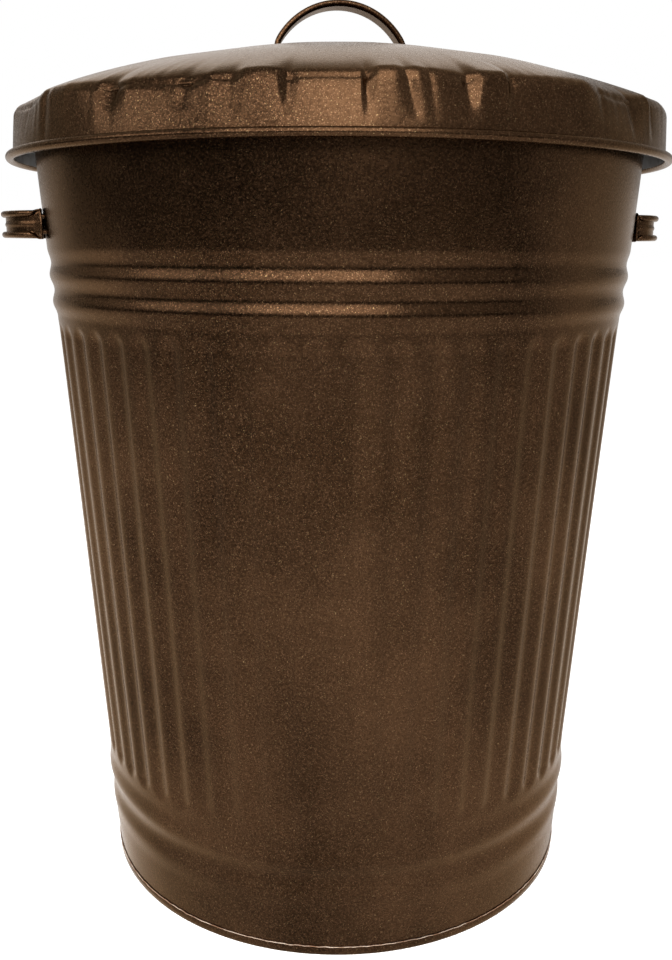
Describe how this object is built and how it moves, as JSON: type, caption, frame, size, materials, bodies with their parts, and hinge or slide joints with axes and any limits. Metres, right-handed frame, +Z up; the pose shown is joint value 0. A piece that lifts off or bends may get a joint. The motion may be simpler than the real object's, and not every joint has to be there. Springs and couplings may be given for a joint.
{
  "type": "trash can with lid",
  "caption": "Round tapered steel bin with pressed flutes and hoops, strap handles riveted to its sides, and a loose domed lid with a strap handle.",
  "frame": {"origin": "on the floor, at the centre of the base", "axes": "+Z up the body's axis, +X through the right-hand side handle, -Y towards the front of the picture, with the seam at +Y"},
  "size_m": [0.5198, 0.5, 0.6839],
  "materials": {
    "hammered_paint": "dark bronze hammered metallic paint over galvanized steel sheet",
    "steel_wire": "bare galvanized wire"
  },
  "bodies": {
    "bin": {"body_shell": "hammered_paint", "body_rim_wire": "steel_wire", "base_plate": "hammered_paint", "left_side_handle": "hammered_paint", "right_side_handle": "hammered_paint", "left_side_handle_rivet_1": "hammered_paint", "left_side_handle_rivet_2": "hammered_paint", "left_side_handle_rivet_3": "hammered_paint", "left_side_handle_rivet_4": "hammered_paint", "right_side_handle_rivet_1": "hammered_paint", "right_side_handle_rivet_2": "hammered_paint", "right_side_handle_rivet_3": "hammered_paint", "right_side_handle_rivet_4": "hammered_paint"},
    "lid": {"lid_shell": "hammered_paint", "lid_rim_wire": "steel_wire", "lid_handle": "hammered_paint", "lid_handle_rivet_1": "hammered_paint", "lid_handle_rivet_2": "hammered_paint", "lid_handle_rivet_3": "hammered_paint", "lid_handle_rivet_4": "hammered_paint"}
  },
  "joints": [
    {"name": "lid_lift", "type": "slide", "parent": "bin", "child": "lid", "axis": [0, 0, 1], "range_m": [0, 0.4]}
  ]
}
